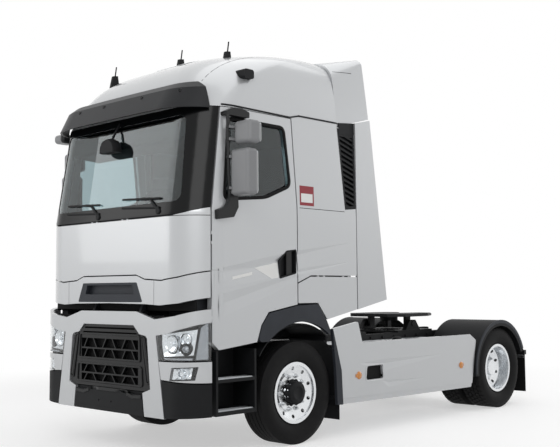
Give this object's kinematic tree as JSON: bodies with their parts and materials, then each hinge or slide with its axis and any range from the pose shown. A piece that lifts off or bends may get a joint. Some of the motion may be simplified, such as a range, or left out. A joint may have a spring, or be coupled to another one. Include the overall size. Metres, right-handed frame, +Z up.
{
  "type": "tractor unit truck",
  "caption": "High-roof cab-over road tractor with steered front wheels, twin rear wheels, a tilting cab with doors and lids, and a rocking coupling plate.",
  "frame": {"origin": "centre of the bounding box at road level", "axes": "+X forward, +Y to the vehicle's left, +Z up"},
  "size_m": [6.0218, 3.05, 4.1061],
  "materials": {
    "cab_paint": "light silver metallic, clear coated",
    "frame_paint": "dark satin chassis paint",
    "cast_grey": "dark painted casting",
    "rubber": "matt",
    "cooler": "matt finned",
    "tank_alloy": "satin",
    "black_plastic": "grained",
    "visor_plastic": "satin dark grey",
    "black_gloss": "smooth",
    "lamp_red": "clear red",
    "clear_lens": "clear",
    "tyre": "matt",
    "rim_alloy": "polished",
    "cab_inner": "satin",
    "glass": "tinted clear",
    "interior_plastic": "grained",
    "seat_cloth": "woven",
    "mirror_case": "painted smooth"
  },
  "bodies": {
    "chassis": {"frame_rails": "frame_paint", "frame_crossmembers": "frame_paint", "front_axle": "cast_grey", "rear_axle": "cast_grey", "rear_air_bellows": "rubber", "powertrain": "cast_grey", "radiator_pack": "cooler", "tanks_and_boxes": "tank_alloy", "side_skirts": "cab_paint", "frame_decks": "frame_paint", "mudguards": "black_plastic", "rear_mudflaps": "rubber", "tail_beam": "frame_paint", "marker_lamps": "lamp_red", "front_beam": "frame_paint", "bumper_frame": "cab_paint", "bumper_skirt": "black_plastic", "lamp_housings": "black_plastic", "lamp_lenses": "clear_lens", "front_grille": "black_plastic", "entry_steps": "black_plastic"},
    "steer_left": {"knuckle_left": "cast_grey"},
    "steer_right": {"knuckle_right": "cast_grey"},
    "tie_rod": {"tie_rod": "cast_grey"},
    "front_wheel_left": {"front_tyre_left": "tyre", "front_rim_left": "rim_alloy"},
    "front_wheel_right": {"front_tyre_right": "tyre", "front_rim_right": "rim_alloy"},
    "rear_wheels_left": {"rear_tyres_left": "tyre", "rear_rims_left": "rim_alloy"},
    "rear_wheels_right": {"rear_tyres_right": "tyre", "rear_rims_right": "rim_alloy"},
    "cab": {"cab_floor": "cab_inner", "cab_side_panels": "cab_paint", "intake_vents": "black_plastic", "cab_rear_wall": "cab_inner", "roof_shell": "cab_paint", "air_fairings": "cab_paint", "windscreen": "glass", "windscreen_frame": "black_gloss", "cab_lower_front": "cab_paint", "cab_intake": "black_plastic", "cab_wheel_arches": "black_plastic", "sun_visor": "visor_plastic", "dashboard": "interior_plastic", "steering_wheel": "interior_plastic", "seats": "seat_cloth", "bunk": "seat_cloth", "wipers_and_antennas": "black_plastic"},
    "front_flap": {"front_flap": "cab_paint"},
    "door_left": {"door_left": "cab_paint", "door_glass_left": "glass", "door_mirrors_left": "mirror_case"},
    "door_right": {"door_right": "cab_paint", "door_glass_right": "glass", "door_mirrors_right": "mirror_case"},
    "locker_lid_left": {"locker_lid_left": "cab_paint"},
    "locker_lid_right": {"locker_lid_right": "cab_paint"},
    "fifth_wheel": {"fifth_wheel_plate": "cast_grey"}
  },
  "joints": [
    {"name": "steer_left", "type": "hinge", "parent": "chassis", "child": "steer_left", "pos_m": [1.549, 0.862, 0.507], "axis": [0, 0, 1], "range_deg": [-42, 42]},
    {"name": "steer_right", "type": "hinge", "parent": "chassis", "child": "steer_right", "pos_m": [1.549, -0.862, 0.507], "axis": [0, 0, 1], "range_deg": [-42, 42]},
    {"name": "tie_rod_pivot", "type": "hinge", "parent": "steer_left", "child": "tie_rod", "pos_m": [1.364, 0.862, 0.404], "axis": [0, 0, 1], "range_deg": [-42, 42]},
    {"name": "spin_front_left", "type": "hinge", "parent": "steer_left", "child": "front_wheel_left", "pos_m": [1.549, 1.022, 0.507], "axis": [0, 1, 0], "continuous": true},
    {"name": "spin_front_right", "type": "hinge", "parent": "steer_right", "child": "front_wheel_right", "pos_m": [1.549, -1.022, 0.507], "axis": [0, 1, 0], "continuous": true},
    {"name": "spin_rear_left", "type": "hinge", "parent": "chassis", "child": "rear_wheels_left", "pos_m": [-2.251, 1.078, 0.507], "axis": [0, 1, 0], "continuous": true},
    {"name": "spin_rear_right", "type": "hinge", "parent": "chassis", "child": "rear_wheels_right", "pos_m": [-2.251, -1.078, 0.507], "axis": [0, 1, 0], "continuous": true},
    {"name": "cab_tilt", "type": "hinge", "parent": "chassis", "child": "cab", "pos_m": [2.879, 0, 1.3], "axis": [0, 1, 0], "range_deg": [0, 60]},
    {"name": "front_flap_lift", "type": "hinge", "parent": "cab", "child": "front_flap", "pos_m": [2.987, 0, 2.218], "axis": [0, -1, 0], "range_deg": [0, 90]},
    {"name": "door_left_swing", "type": "hinge", "parent": "cab", "child": "door_left", "pos_m": [2.728, 1.208, 1.67], "axis": [0, 0, -1], "range_deg": [0, 80]},
    {"name": "door_right_swing", "type": "hinge", "parent": "cab", "child": "door_right", "pos_m": [2.728, -1.208, 1.67], "axis": [0, 0, 1], "range_deg": [0, 80]},
    {"name": "locker_lid_left_lift", "type": "hinge", "parent": "cab", "child": "locker_lid_left", "pos_m": [1.049, 1.231, 1.668], "axis": [1, 0, 0], "range_deg": [0, 90]},
    {"name": "locker_lid_right_lift", "type": "hinge", "parent": "cab", "child": "locker_lid_right", "pos_m": [1.049, -1.231, 1.668], "axis": [-1, 0, 0], "range_deg": [0, 90]},
    {"name": "fifth_wheel_rock", "type": "hinge", "parent": "chassis", "child": "fifth_wheel", "pos_m": [-1.531, 0, 1.085], "axis": [0, 1, 0], "range_deg": [-12, 12]}
  ],
  "couplings": [
    {"joint": "steer_right", "follows": "steer_left", "ratio": 1},
    {"joint": "tie_rod_pivot", "follows": "steer_left", "ratio": -1}
  ]
}
